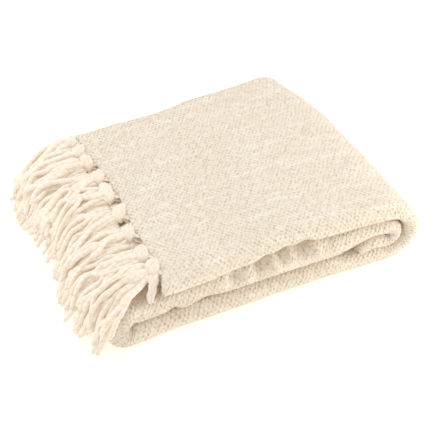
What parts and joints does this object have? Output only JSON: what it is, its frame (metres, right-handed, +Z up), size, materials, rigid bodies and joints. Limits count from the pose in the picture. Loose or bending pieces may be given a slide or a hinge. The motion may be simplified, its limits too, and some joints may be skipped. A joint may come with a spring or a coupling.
{
  "type": "folded throw blanket",
  "caption": "Chunky woven chenille throw, folded into a thick flat stack with round fold ends and a knotted fringe along one end.",
  "frame": {"origin": "centre of the underside of the box around the whole folded blanket and its fringe", "axes": "+X along the front edge from the fringe to the round folds, +Y to the back, +Z up from the surface it rests on"},
  "size_m": [0.4842, 0.3454, 0.11],
  "materials": {
    "cloth": "soft matt cream chenille weave",
    "yarn": "soft matt cream yarn"
  },
  "bodies": {
    "root": {"blanket": "cloth", "tassel_upper_1": "yarn", "tassel_upper_2": "yarn", "tassel_upper_3": "yarn", "tassel_upper_4": "yarn", "tassel_upper_5": "yarn", "tassel_upper_6": "yarn", "tassel_upper_7": "yarn", "tassel_upper_8": "yarn", "tassel_upper_9": "yarn", "tassel_lower_1": "yarn", "tassel_lower_2": "yarn", "tassel_lower_3": "yarn", "tassel_lower_4": "yarn", "tassel_lower_5": "yarn", "tassel_lower_6": "yarn", "tassel_lower_7": "yarn", "tassel_lower_8": "yarn"}
  },
  "joints": []
}
